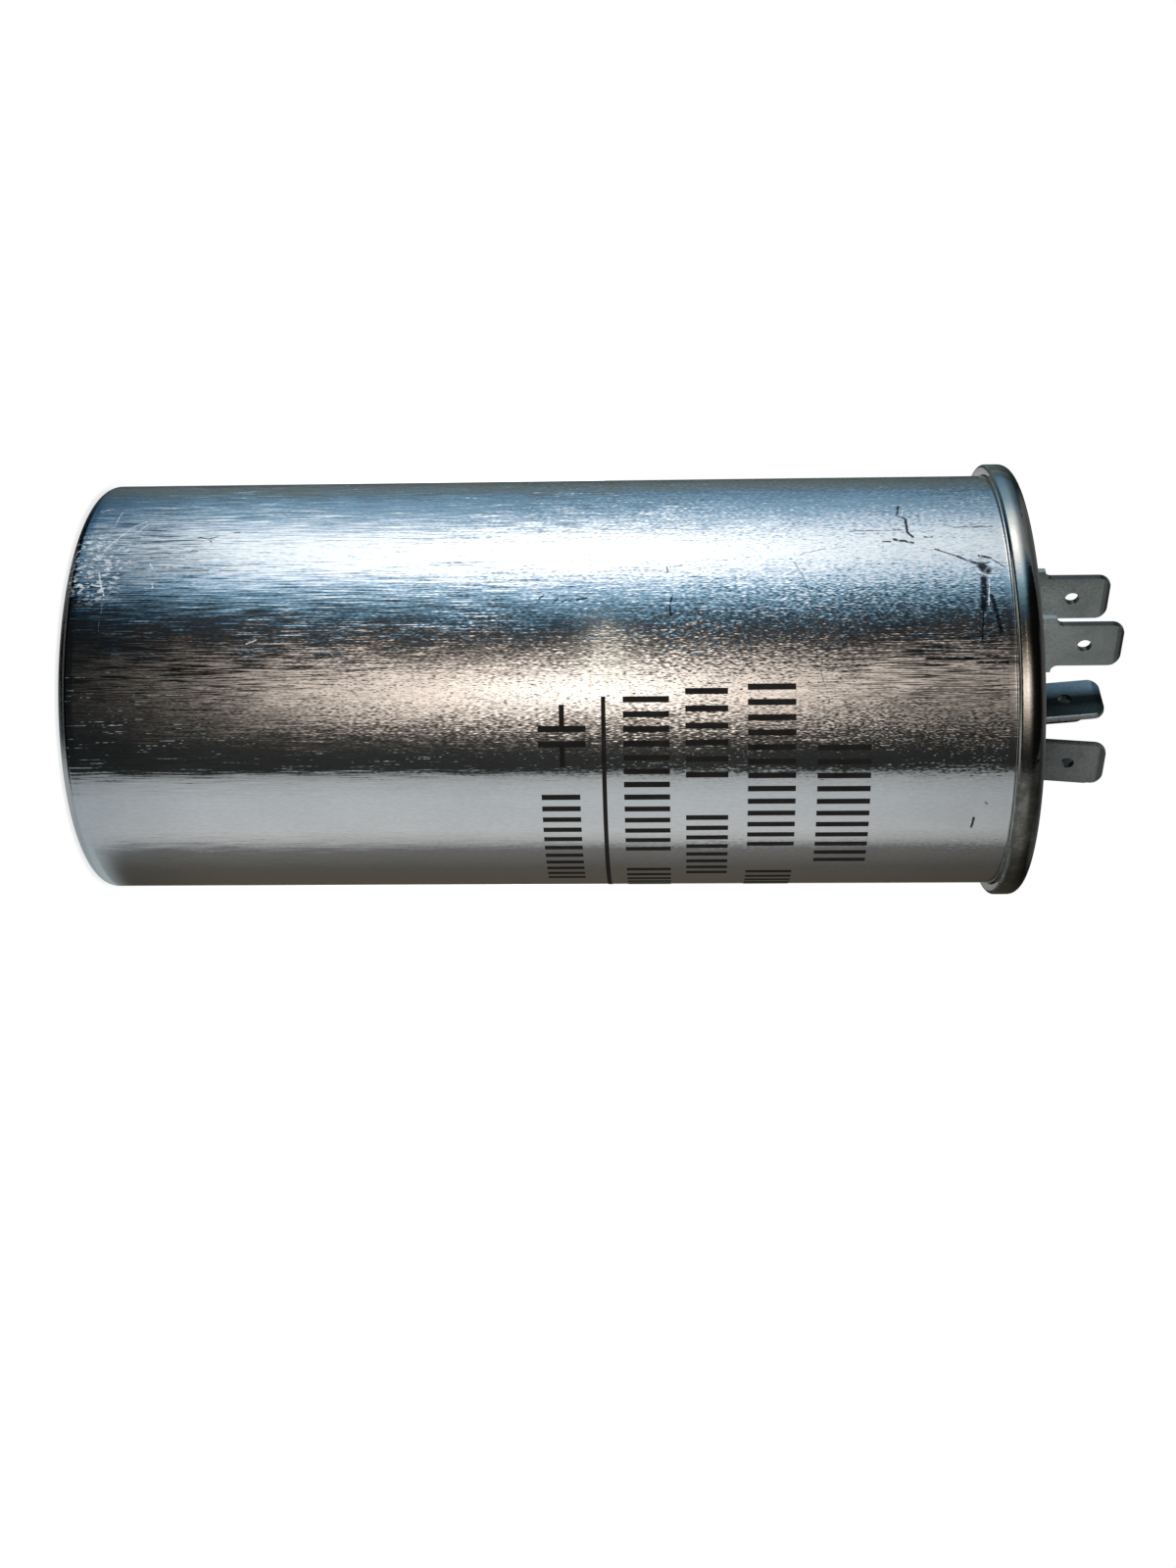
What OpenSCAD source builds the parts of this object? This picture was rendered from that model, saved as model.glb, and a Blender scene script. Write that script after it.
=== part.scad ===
// Round motor-run capacitor: a drawn aluminium can closed by a double-seamed tinplate cover that carries
// a two-way and a four-way push-on terminal, with the wound film element and its leads inside.
// Millimetres. The origin is the centre of the can's floor, +Z runs up to the terminals, and +X runs from
// the two-way terminal to the four-way one.

/* [Can] */
// Outside diameter of the can
can_d = 50; // [46:0.5:65]
// Height from the floor to the top of the seam
can_h = 111.4; // [60:0.1:140]
// Sheet thickness of the can
can_wall = 0.5; // [0.3:0.05:0.8]
// Outside radius of the corner round the floor
corner_r = 1.4; // [1:0.1:3]
// Depth of the groove that the seaming roll leaves in the wall under the seam
roll_groove_depth = 0.14; // [0.13:0.01:0.17]
// Width of that groove, half of it hidden behind the seam's lip
roll_groove_w = 1.1; // [1:0.1:1.4]
// Radius in the lower corner of that groove
roll_groove_r = 0.2; // [0.2:0.01:0.3]
// How much shallower that groove is at its hidden end
roll_groove_lean = 0.02; // [0.01:0.01:0.05]

/* [Cover] */
// Sheet thickness of the cover
cover_t = 0.35; // [0.25:0.05:0.5]
// Height of the double seam
seam_h = 3.1; // [2.6:0.1:4.5]
// Room for sealing compound between the layers of the seam
seam_gap = 0.07; // [0.04:0.01:0.15]
// Inside radius of the two bends in the seam's lip
lip_bend_r = 0.1; // [0.08:0.01:0.2]
// Depth of the countersink groove below the top of the seam
countersink_depth = 5.4; // [4:0.1:7]
// Height of the panel above the floor of the countersink groove
panel_rise = 2; // [1.6:0.1:3]
// Inside radius of the bends on both sides of the groove
groove_bend_r = 0.5; // [0.3:0.05:0.6]

/* [Terminals] */
// Distance between the two rivets
terminal_pitch = 18.5; // [16.5:0.5:22]
// Thickness of the terminal sheet
tab_t = 0.8; // [0.5:0.05:1]
// Width of a push-on tab
tab_w = 6.3; // [4.8:0.1:6.5]
// Length of a tab from its shoulder to its tip
tab_len = 8.1; // [7:0.1:9]
// Radius of the two corners of a tab's tip
tip_r = 1.5; // [0.5:0.1:2]
// Length of the coined lead-in at a tab's tip
lead_in_len = 0.9; // [0.4:0.1:1.5]
// Depth of the lead-in on each face of a tab
lead_in_depth = 0.17; // [0.05:0.01:0.22]
// Diameter of the locking hole in a tab
lock_hole_d = 1.65; // [1.4:0.05:2]
// Distance from the locking hole to the tip
lock_hole_to_tip = 4.5; // [3.5:0.1:5]
// Height of the straight shoulder under a tab
shoulder_h = 1.3; // [0.8:0.1:2.5]
// Radius between a shoulder and its tab
shoulder_r = 0.8; // [0.3:0.1:1]
// Inside bend radius of the terminal sheet
tab_bend_r = 0.8; // [0.5:0.1:1]
// Width over the outside of the two-way terminal's shoulders
two_way_span = 9.6; // [9.4:0.1:11]
// Shoulder width on the two-way terminal
two_way_shoulder_w = 8.4; // [6.6:0.1:10]
// Width over the outside of the four-way terminal's shoulders
four_way_span = 10.5; // [10.2:0.1:11]
// Shoulder width on the four-way terminal
four_way_shoulder_w = 6.8; // [6.6:0.1:6.9]
// Angle by which the four-way terminal's tabs splay out from their shoulders
four_way_flare = 6; // [0:0.5:8]

/* [Insulators] */
// Diameter of a terminal bushing's flange
bushing_flange_d = 16; // [15:0.5:16.5]
// Thickness of a terminal bushing's flange
bushing_flange_t = 1.6; // [1:0.1:2.5]
// Diameter of a terminal bushing's boss
bushing_boss_d = 13; // [11:0.5:14.5]
// Height of a terminal bushing over the gasket
bushing_h = 3.5; // [3:0.1:6]
// Chamfer on the edges of a terminal bushing
bushing_edge = 0.4; // [0.2:0.1:0.6]
// Diameter of the spigot that lines the cover's hole
spigot_d = 7.6; // [6.5:0.1:8.5]
// Clearance round a spigot
spigot_clearance = 0.2; // [0.1:0.05:0.4]
// Outside diameter of a sealing gasket
gasket_d = 15; // [12:0.5:16]
// Thickness of a sealing gasket
gasket_t = 1; // [0.6:0.1:1.5]
// Outside diameter of an inner washer
washer_d = 14; // [11:0.5:16]
// Thickness of an inner washer
washer_t = 1.6; // [1:0.1:2.5]

/* [Rivets and lugs] */
// Diameter of a rivet's shank
rivet_d = 4; // [3:0.1:4.5]
// Diameter of the bore through a rivet
rivet_bore_d = 2.4; // [1.5:0.1:2.6]
// Diameter of a rivet's two heads
rivet_head_d = 6.2; // [5.4:0.1:6.2]
// Thickness of a rivet's two heads
rivet_head_t = 0.8; // [0.5:0.1:1.2]
// Clearance round a rivet's shank
rivet_clearance = 0.1; // [0.05:0.05:0.2]
// Outside diameter of a soldering lug's ring
lug_d = 8.4; // [7:0.1:9.5]
// Sheet thickness of a soldering lug
lug_t = 0.5; // [0.3:0.1:0.8]
// Width of a soldering lug's tail
lug_tail_w = 4; // [3:0.5:5]
// Length of the straight part of a lug's tail
lug_tail_len = 4; // [3:0.5:5]
// Inside bend radius of a lug
lug_bend_r = 0.5; // [0.3:0.1:0.8]

/* [Wound element] */
// Room between the element and the cover's groove, for the lugs and leads
head_room = 12.6; // [11:0.1:20]
// Thickness of the sprayed zinc on each end
spray_t = 0.6; // [0.3:0.1:1]
// Outside diameter of the winding's core tube
core_d = 9; // [8:0.5:14]
// Wall of the winding's core tube
core_wall = 1.5; // [1:0.1:2]
// Clearance between the core tube and the film
core_clearance = 0.05; // [0.02:0.01:0.1]
// Thickness of the insulating sleeve
sleeve_t = 1; // [0.4:0.1:1.5]
// Clearance between pieces inside the can
fit_clearance = 0.3; // [0.2:0.05:0.5]
// Thickness of the lower spacer
lower_spacer_t = 3; // [2:0.5:5]
// Depth of the lower spacer's slot for a lead
lead_slot_depth = 1.2; // [0.6:0.1:1.5]
// Thickness of the upper spacer's plate
upper_spacer_t = 2; // [1.5:0.5:4]
// Wall of the upper spacer's rim
upper_spacer_wall = 1.6; // [1:0.1:2.5]
// Diameter of the opening in the middle of each spacer
spacer_bore_d = 12; // [11:0.5:16]

/* [Leads] */
// Width of a lead ribbon
ribbon_w = 3; // [2:0.5:3.5]
// Thickness of a lead ribbon
ribbon_t = 0.3; // [0.2:0.05:0.4]
// Length of a ribbon that is soldered to a sprayed end
ribbon_foot = 6; // [4:0.5:8]
// Inside bend radius of a ribbon
ribbon_bend_r = 0.6; // [0.4:0.1:0.8]
// Clearance round a ribbon where it passes a spacer
ribbon_clearance = 0.5; // [0.3:0.1:1]

/* [Hidden] */
$fn = 96;

// Double seam, from the inside out: chuck wall, can wall, cover hook, can hook, outer wall
can_r = can_d / 2;
can_bore_r = can_r - can_wall;
hook_fold_r = seam_gap + cover_t / 2;
cover_fold_r = hook_fold_r + can_wall + seam_gap;
lip_mid_r = lip_bend_r + cover_t / 2;
lip_run = can_wall + 2 * seam_gap - 2 * lip_bend_r;
seam_straight = seam_h - (cover_fold_r + cover_t) - (lip_bend_r + cover_t);
seam_fold_z = can_h - cover_fold_r - cover_t;

// Cover
chuck_r = can_bore_r - seam_gap - cover_t / 2;
groove_mid_r = groove_bend_r + cover_t / 2;
groove_z = can_h - countersink_depth - cover_t;
panel_z = can_h - countersink_depth + panel_rise;
panel_mid_z = panel_z - cover_t / 2;
panel_run = chuck_r - 3 * groove_mid_r;
panel_drop = panel_rise - 2 * groove_mid_r;
cover_hole_d = spigot_d + 2 * spigot_clearance;

// Each terminal's stack, from the panel up and from the panel down
bushing_z = panel_z + gasket_t;
base_z = bushing_z + bushing_h;
rivet_top_z = base_z + tab_t;
washer_z = panel_z - cover_t - washer_t;
lug_z = washer_z - lug_t;
rivet_hole_d = rivet_d + 2 * rivet_clearance;
two_way_x = -terminal_pitch / 2;
four_way_x = terminal_pitch / 2;

// The element inside the can, from the floor up
lower_spacer_z = can_wall;
lower_spray_z = lower_spacer_z + lower_spacer_t;
winding_z = lower_spray_z + spray_t;
upper_spacer_z = groove_z - fit_clearance - head_room;
upper_spray_z = upper_spacer_z - spray_t;
element_h = upper_spacer_z - lower_spray_z;
liner_r = can_bore_r - fit_clearance;
winding_d = 2 * (liner_r - sleeve_t - fit_clearance);
winding_bore_d = core_d + 2 * core_clearance;

// Each lead rises against the -X face of its lug's tail and ends level with the tail's bend
lug_bend_mid_r = lug_bend_r + lug_t / 2;
lug_face_x = lug_d / 2 + lug_bend_mid_r + lug_t / 2;
lead_top_z = lug_z + lug_t / 2 - lug_bend_mid_r;
ribbon_mid_r = ribbon_bend_r + ribbon_t / 2;
ribbon_slot_w = ribbon_w + 2 * ribbon_clearance;
upper_lead_x = two_way_x - lug_face_x - ribbon_t / 2;
lower_lead_x = four_way_x - lug_face_x - ribbon_t / 2;
lower_foot = core_d / 2 + ribbon_foot;

// Helpers

// A point at distance r and angle a from the origin
function polar(r, a) = r * [cos(a), sin(a)];

// The bend of a strip: a ring sector that starts at the origin heading +X and turns left, or right if negative
module strip_bend(turn, mid_r, t) {
    reach = 3 * (mid_r + t);
    sweep = abs(turn);
    mirror([0, turn < 0 ? 1 : 0])
        translate([0, mid_r])
            intersection() {
                difference() {
                    circle(mid_r + t / 2);
                    circle(mid_r - t / 2);
                }
                polygon([[0, 0], for (share = [0:3]) polar(reach, share / 3 * sweep - 90)]);
            }
}

// The section of a folded sheet of thickness t, drawn along its middle line. It starts at the origin heading
// +X. Each step is [straight run, turn in degrees, middle radius of the turn].
module strip(steps, t, i = 0) {
    run = steps[i][0];
    turn = steps[i][1];
    mid_r = steps[i][2];
    translate([0, -t / 2]) square([run, t]);
    if (turn != 0) translate([run, 0]) strip_bend(turn, mid_r, t);
    if (i < len(steps) - 1)
        translate([run + mid_r * sin(abs(turn)), sign(turn) * mid_r * (1 - cos(turn))])
            rotate(turn) strip(steps, t, i + 1);
}

// A section in X and Z, extruded to width w along Y
module across(w) {
    rotate([90, 0, 0]) linear_extrude(w, center = true) children();
}

// A flat ring that stands on z
module ring(outer_d, inner_d, h, z) {
    translate([0, 0, z]) difference() {
        cylinder(d = outer_d, h = h);
        translate([0, 0, -h / 2]) cylinder(d = inner_d, h = 2 * h);
    }
}

// Casing

// Drawn can: floor, corner, wall, the seaming roll's groove, and the hook that is rolled over into the seam
module can() {
    steps = [
        [can_r - corner_r, 90, corner_r - can_wall / 2],
        [seam_fold_z - corner_r, -180, hook_fold_r + can_wall / 2],
        [seam_straight, 0, 0]
    ];
    groove_low = roll_groove_r - roll_groove_w / 2;
    groove_reach = 2 * roll_groove_r;
    color("silver") rotate_extrude() difference() {
        translate([0, can_wall / 2]) strip(steps, can_wall);
        translate([can_r - roll_groove_depth, can_h - seam_h]) {
            translate([roll_groove_r, groove_low]) circle(roll_groove_r);
            polygon([
                [0, groove_low], [groove_reach, groove_low],
                [groove_reach, roll_groove_w / 2], [roll_groove_lean, roll_groove_w / 2]
            ]);
        }
    }
}

// Cover: panel, countersink groove, chuck wall, the fold over the can's hook and the cover hook under it
module cover() {
    chuck_h = seam_fold_z - (groove_z + cover_t / 2) - groove_mid_r;
    steps = [
        [panel_run, -90, groove_mid_r],
        [panel_drop, 180, groove_mid_r],
        [chuck_h, -180, cover_fold_r + cover_t / 2],
        [seam_straight, -90, lip_mid_r],
        [lip_run, -90, lip_mid_r],
        [seam_straight, 0, 0]
    ];
    color("lightsteelblue") difference() {
        rotate_extrude() translate([0, panel_mid_z]) strip(steps, cover_t);
        for (x = [two_way_x, four_way_x])
            translate([x, 0, panel_mid_z - cover_t]) cylinder(d = cover_hole_d, h = 2 * cover_t);
    }
}

// Terminals

// Front outline of a tab from its root to its tip, with the shoulder fillets, the round tip corners and the
// locking hole
module tab_outline(root, shoulder_w) {
    fillet = min(shoulder_r, (shoulder_w - tab_w) / 2);
    difference() {
        union() {
            translate([-tab_w / 2, -root]) square([tab_w, root + tab_len]);
            for (side = [0, 1])
                mirror([side, 0]) translate([tab_w / 2, 0]) difference() {
                    translate([0, -root]) square([fillet, root + fillet]);
                    translate([fillet, fillet]) circle(fillet);
                }
        }
        for (side = [0, 1])
            mirror([side, 0]) translate([tab_w / 2 - tip_r, tab_len - tip_r]) difference() {
                square(2 * tip_r);
                circle(tip_r);
            }
        translate([0, tab_len - lock_hole_to_tip]) circle(d = lock_hole_d);
    }
}

// Side section of a tab from its root to its tip, with the lead-in on both faces
module tab_side(root) {
    face = tab_t / 2;
    edge = face - lead_in_depth;
    polygon([
        [-face, -root], [face, -root], [face, tab_len - lead_in_len],
        [edge, tab_len], [-edge, tab_len], [-face, tab_len - lead_in_len]
    ]);
}

// One arm of a terminal along +X: half the base, the bend, the shoulder, and the tab rooted in it
module terminal_arm(span, shoulder_w, flare) {
    bend_mid_r = tab_bend_r + tab_t / 2;
    base_run = (span - tab_t) / 2 - bend_mid_r;
    root = shoulder_h / 3;
    across(shoulder_w) strip([[base_run, 90, bend_mid_r], [shoulder_h, 0, 0]], tab_t);
    translate([base_run + bend_mid_r, 0, bend_mid_r + shoulder_h])
        rotate([0, flare, 0])
            intersection() {
                rotate([90, 0, 90]) linear_extrude(2 * tab_t, center = true) tab_outline(root, shoulder_w);
                across(2 * shoulder_w) tab_side(root);
            }
}

// A folded terminal with an arm at each of the given angles
module terminal(x, angles, span, shoulder_w, flare) {
    color("gainsboro") translate([x, 0, base_z + tab_t / 2]) difference() {
        union()
            for (angle = angles) rotate(angle) terminal_arm(span, shoulder_w, flare);
        translate([0, 0, -tab_t]) cylinder(d = rivet_hole_d, h = 2 * tab_t);
    }
}

// Moulded bushing: a flange on the gasket, a boss under the terminal and a spigot through the cover
module bushing(x) {
    spigot_len = gasket_t + cover_t + washer_t;
    bore_r = rivet_hole_d / 2;
    spigot_r = spigot_d / 2;
    flange_r = bushing_flange_d / 2;
    boss_r = bushing_boss_d / 2;
    profile = [
        [bore_r, -spigot_len], [spigot_r, -spigot_len], [spigot_r, 0], [flange_r, 0],
        [flange_r, bushing_flange_t - bushing_edge], [flange_r - bushing_edge, bushing_flange_t],
        [boss_r, bushing_flange_t], [boss_r, bushing_h - bushing_edge], [boss_r - bushing_edge, bushing_h],
        [bore_r, bushing_h]
    ];
    color("dimgray") translate([x, 0, bushing_z]) rotate_extrude() polygon(profile);
}

module gasket(x) {
    color("black") translate([x, 0, 0]) ring(gasket_d, cover_hole_d, gasket_t, panel_z);
}

module washer(x) {
    color("saddlebrown") translate([x, 0, 0]) ring(washer_d, cover_hole_d, washer_t, washer_z);
}

// Tubular rivet with a head on the terminal and one under the lug
module rivet(x) {
    lower_head_z = lug_z - rivet_head_t;
    rivet_len = rivet_top_z + rivet_head_t - lower_head_z;
    color("silver") translate([x, 0, lower_head_z]) difference() {
        union() {
            cylinder(d = rivet_d, h = rivet_len);
            cylinder(d = rivet_head_d, h = rivet_head_t);
            translate([0, 0, rivet_len - rivet_head_t]) cylinder(d = rivet_head_d, h = rivet_head_t);
        }
        translate([0, 0, -rivet_head_t]) cylinder(d = rivet_bore_d, h = rivet_len + 2 * rivet_head_t);
    }
}

// Soldering lug: a ring under the inner washer, and a tail bent down on its -X side
module lug(x) {
    steps = [[lug_d / 2, -90, lug_bend_mid_r], [lug_tail_len, 0, 0]];
    color("goldenrod") translate([x, 0, lug_z + lug_t / 2]) difference() {
        union() {
            cylinder(d = lug_d, h = lug_t, center = true);
            rotate(180) across(lug_tail_w) strip(steps, lug_t);
        }
        cylinder(d = rivet_hole_d, h = 2 * lug_t, center = true);
    }
}

// Wound element

// Moulded disc on the can's floor, bevelled clear of the can's corner, with a slot for the lower lead's foot
module lower_spacer() {
    slot_len = lower_foot + ribbon_clearance;
    bevel = corner_r - can_wall;
    bore_r = spacer_bore_d / 2;
    profile = [
        [bore_r, 0], [liner_r - bevel, 0], [liner_r, bevel], [liner_r, lower_spacer_t], [bore_r, lower_spacer_t]
    ];
    color("whitesmoke") difference() {
        translate([0, 0, lower_spacer_z]) rotate_extrude() polygon(profile);
        translate([-slot_len, -ribbon_slot_w / 2, lower_spray_z - lead_slot_depth])
            cube([slot_len, ribbon_slot_w, 2 * lead_slot_depth]);
    }
}

module sleeve() {
    color("khaki") ring(2 * liner_r, 2 * (liner_r - sleeve_t), element_h, lower_spray_z);
}

module winding() {
    color("gainsboro") ring(winding_d, winding_bore_d, upper_spray_z - winding_z, winding_z);
}

module core_tube() {
    color("white") ring(core_d, core_d - 2 * core_wall, element_h, lower_spray_z);
}

module spray(z) {
    color("darkgray") ring(winding_d, winding_bore_d, spray_t, z);
}

// Moulded cap on the element: a plate with a slot for the upper lead, and a rim that stops under the groove
module upper_spacer() {
    slot_start_x = upper_lead_x - ribbon_t / 2 - ribbon_clearance;
    slot_end_x = upper_lead_x + ribbon_mid_r + ribbon_foot + ribbon_clearance;
    color("whitesmoke") difference() {
        union() {
            ring(2 * liner_r, spacer_bore_d, upper_spacer_t, upper_spacer_z);
            ring(2 * liner_r, 2 * (liner_r - upper_spacer_wall), head_room, upper_spacer_z);
        }
        translate([slot_start_x, -ribbon_slot_w / 2, upper_spacer_z - upper_spacer_t / 2])
            cube([slot_end_x - slot_start_x, ribbon_slot_w, 2 * upper_spacer_t]);
    }
}

// Leads

// Ribbon from the upper sprayed end to the two-way terminal's lug
module upper_lead() {
    start_z = upper_spacer_z + ribbon_t / 2;
    steps = [[ribbon_foot, 90, ribbon_mid_r], [lead_top_z - start_z - ribbon_mid_r, 0, 0]];
    color("peru") translate([upper_lead_x, 0, start_z]) mirror([1, 0, 0])
        translate([-ribbon_mid_r - ribbon_foot, 0, 0]) across(ribbon_w) strip(steps, ribbon_t);
}

// Ribbon from the lower sprayed end, up through the core tube, to the four-way terminal's lug
module lower_lead() {
    start_z = lower_spray_z - ribbon_t / 2;
    level_z = upper_spacer_z + upper_spacer_t + ribbon_t;
    steps = [
        [lower_foot - ribbon_mid_r, 90, ribbon_mid_r],
        [level_z - start_z - 2 * ribbon_mid_r, -90, ribbon_mid_r],
        [lower_lead_x - 2 * ribbon_mid_r, 90, ribbon_mid_r],
        [lead_top_z - level_z - ribbon_mid_r, 0, 0]
    ];
    color("peru") translate([-lower_foot, 0, start_z]) across(ribbon_w) strip(steps, ribbon_t);
}

can();
cover();
gasket(two_way_x);  // gasket_two_way
bushing(two_way_x);  // bushing_two_way
terminal(two_way_x, [90, 270], two_way_span, two_way_shoulder_w, 0);  // terminal_two_way
rivet(two_way_x);  // rivet_two_way
washer(two_way_x);  // washer_two_way
lug(two_way_x);  // lug_two_way
gasket(four_way_x);  // gasket_four_way
bushing(four_way_x);  // bushing_four_way
terminal(four_way_x, [0, 90, 180, 270], four_way_span, four_way_shoulder_w, four_way_flare);  // terminal_four_way
rivet(four_way_x);  // rivet_four_way
washer(four_way_x);  // washer_four_way
lug(four_way_x);  // lug_four_way
lower_spacer();
sleeve();
winding();
core_tube();
spray(lower_spray_z);  // lower_spray
spray(upper_spray_z);  // upper_spray
upper_spacer();
upper_lead();
lower_lead();
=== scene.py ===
import math

import bmesh
import bpy
from mathutils import Matrix, Vector


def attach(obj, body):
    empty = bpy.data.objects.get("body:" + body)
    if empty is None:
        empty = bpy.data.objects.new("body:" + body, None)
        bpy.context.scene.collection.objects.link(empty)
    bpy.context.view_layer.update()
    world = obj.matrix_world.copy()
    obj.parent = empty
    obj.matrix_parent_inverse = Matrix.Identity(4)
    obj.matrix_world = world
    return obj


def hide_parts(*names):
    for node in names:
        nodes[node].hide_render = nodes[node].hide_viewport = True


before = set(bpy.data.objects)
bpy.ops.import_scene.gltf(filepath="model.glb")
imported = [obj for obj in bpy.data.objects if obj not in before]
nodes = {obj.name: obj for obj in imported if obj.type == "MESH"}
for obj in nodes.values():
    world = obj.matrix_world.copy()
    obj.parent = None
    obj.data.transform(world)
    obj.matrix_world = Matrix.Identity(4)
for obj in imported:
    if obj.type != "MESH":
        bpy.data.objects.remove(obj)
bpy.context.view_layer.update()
scene = bpy.context.scene
MM = 0.001

# The can and its seam, in mm, as the CAD has them
CAN_R = 25.0
CAN_WALL = 0.5
CORNER_R = 1.4
WALL_TOP = 107.759
SEAM_FOLD_Z = 110.235
HOOK_FOLD_R = 25.245
HOOK_INSIDE_R = 0.245
HOOK_OUTSIDE_R = HOOK_INSIDE_R + CAN_WALL
HOOK_END_Z = 108.75

# Azimuth of the meridian that faces the camera; angles on the can are counted from it, in degrees
FRONT = -131.8


class Graph:
    """A short way to write a node tree: a call adds a node and returns its output."""

    def __init__(self, tree):
        self.tree = tree
        tree.nodes.clear()

    def node(self, kind, inputs=None, **settings):
        made = self.tree.nodes.new("ShaderNode" + kind)
        for key, value in settings.items():
            setattr(made, key, value)
        for key, value in (inputs or {}).items():
            self.put(made.inputs[key], value)
        return made

    def put(self, socket, value):
        if isinstance(value, bpy.types.NodeSocket):
            self.tree.links.new(value, socket)
        else:
            socket.default_value = value

    def math(self, operation, a, b=0.0, c=0.0):
        return self.node("Math", {0: a, 1: b, 2: c}, operation=operation).outputs[0]

    def product(self, first, *others):
        for other in others:
            first = self.math("MULTIPLY", first, other)
        return first

    def smooth(self, x, low, high, start=0.0, end=1.0):
        inputs = {0: x, 1: low, 2: high, 3: start, 4: end}
        return self.node("MapRange", inputs, interpolation_type="SMOOTHSTEP").outputs[0]

    def line(self, x, slope, offset):
        return self.math("MULTIPLY_ADD", x, slope, offset)

    def gauss(self, *terms):
        """A soft spot: each term is (coordinate, centre, spread)."""
        total = 0.0
        for coordinate, centre, spread in terms:
            share = self.math("DIVIDE", self.math("SUBTRACT", coordinate, centre), spread)
            total = self.math("MULTIPLY_ADD", share, share, total)
        return self.math("EXPONENT", self.math("MULTIPLY", total, -0.5))

    def noise(self, vector, scale, detail=2.0, rough=0.5):
        inputs = {"Vector": vector, "Scale": scale, "Detail": detail, "Roughness": rough}
        return self.node("TexNoise", inputs).outputs[0]

    def ramp(self, factor, stops):
        """The ramp's outputs: its colour, then its fourth value."""
        made = self.node("ValToRGB", {0: factor})
        elements = made.color_ramp.elements
        while len(elements) < len(stops):
            elements.new(0.5)
        for element, (position, colour) in zip(elements, stops):
            element.position = position
            element.color = colour if len(colour) == 4 else (*colour, 1.0)
        return made.outputs

    def mix(self, factor, a, b, blend="MIX"):
        made = self.node("Mix", {0: factor, 6: a, 7: b}, data_type="RGBA", blend_type=blend)
        return made.outputs[2]

    def vector(self, operation, a, b):
        return self.node("VectorMath", {0: a, 1: b}, operation=operation).outputs[0]

    def dot(self, a, b):
        return self.node("VectorMath", {0: a, 1: b}, operation="DOT_PRODUCT").outputs["Value"]

    def length(self, vector):
        return self.node("VectorMath", {0: vector}, operation="LENGTH").outputs["Value"]

    def scale(self, vector, factor):
        return self.node("VectorMath", {0: vector, "Scale": factor}, operation="SCALE").outputs[0]

    def stretch(self, vector, scale):
        return self.node("Mapping", {"Vector": vector, "Scale": scale}).outputs[0]

    def place(self):
        return self.node("TexCoord").outputs["Object"]

    def parts(self, vector):
        return self.node("SeparateXYZ", {0: vector}).outputs

    def from_front(self, vector):
        """The vector's parts, turned so that the first one runs out along the front meridian."""
        inputs = {"Vector": vector, "Angle": math.radians(-FRONT)}
        turned = self.node("VectorRotate", inputs, rotation_type="Z_AXIS")
        return self.parts(turned.outputs[0])

    def reach(self, x, y):
        """Distance from the Z axis."""
        return self.math("POWER", self.math("MULTIPLY_ADD", x, x, self.math("MULTIPLY", y, y)), 0.5)

    def bump(self, height, distance):
        return self.node("Bump", {"Height": height, "Distance": distance, "Strength": 1.0}).outputs[0]

    def shade(self, **inputs):
        named = {key.replace("_", " "): value for key, value in inputs.items()}
        shader = self.node("BsdfPrincipled", named)
        self.node("OutputMaterial", {"Surface": shader.outputs[0]})


def material(name):
    made = bpy.data.materials.new(name)
    made.use_nodes = True
    return made, Graph(made.node_tree)


# Camera

# Fitted to the photo: its right and down in the part's frame, the camera's place in m, the rest in pixels
RIGHT = Vector((0.033898, 0.025536, 0.999099))
DOWN = Vector((0.787963, -0.615624, -0.011))
CAMERA_PLACE = Vector((-0.163588, -0.183057, 0.069528))
PHOTO_FOCUS, PHOTO_LONG_SIDE = 2003.056, 1600.0
PHOTO_MIDDLE = (600.0, 800.0)
LENS_AXIS = (598.21, 561.678)
camera_data = bpy.data.cameras.new("camera")
camera_data.sensor_width = 36.0
camera_data.lens = PHOTO_FOCUS * camera_data.sensor_width / PHOTO_LONG_SIDE
camera_data.shift_x = (PHOTO_MIDDLE[0] - LENS_AXIS[0]) / PHOTO_LONG_SIDE
camera_data.shift_y = (LENS_AXIS[1] - PHOTO_MIDDLE[1]) / PHOTO_LONG_SIDE
camera_data.clip_start = 0.01
camera = bpy.data.objects.new("camera", camera_data)
forward = RIGHT.cross(DOWN)
turn = Matrix((RIGHT, -DOWN, -forward)).transposed().to_4x4()
camera.matrix_world = Matrix.Translation(CAMERA_PLACE) @ turn
scene.collection.objects.link(camera)
scene.camera = camera
scene.view_settings.view_transform = "Standard"


# World, floor, lamps and the surroundings that the metal mirrors

def add_object(name, mesh):
    made = bpy.data.objects.new(name, mesh)
    scene.collection.objects.link(made)
    return made


def circle(radius, z, segments):
    turns = (2 * math.pi * i / segments for i in range(segments))
    return [(radius * math.cos(a), radius * math.sin(a), z) for a in turns]


def white_rays(graph):
    """1 on rays that should meet plain white: from the camera, off gloss and through glass."""
    path = graph.node("LightPath").outputs
    seen = graph.math("MAXIMUM", path["Is Camera Ray"], path["Is Glossy Ray"])
    return graph.math("MAXIMUM", seen, path["Is Transmission Ray"])


FILL_LEVEL = 0.55
scene.world = bpy.data.worlds.new("world")
scene.world.use_nodes = True
g = Graph(scene.world.node_tree)
level = g.line(white_rays(g), 1.0 - FILL_LEVEL, FILL_LEVEL)
sky = g.node("Background", {"Color": (1, 1, 1, 1), "Strength": level})
g.node("OutputWorld", {"Surface": sky.outputs[0]})


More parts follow.
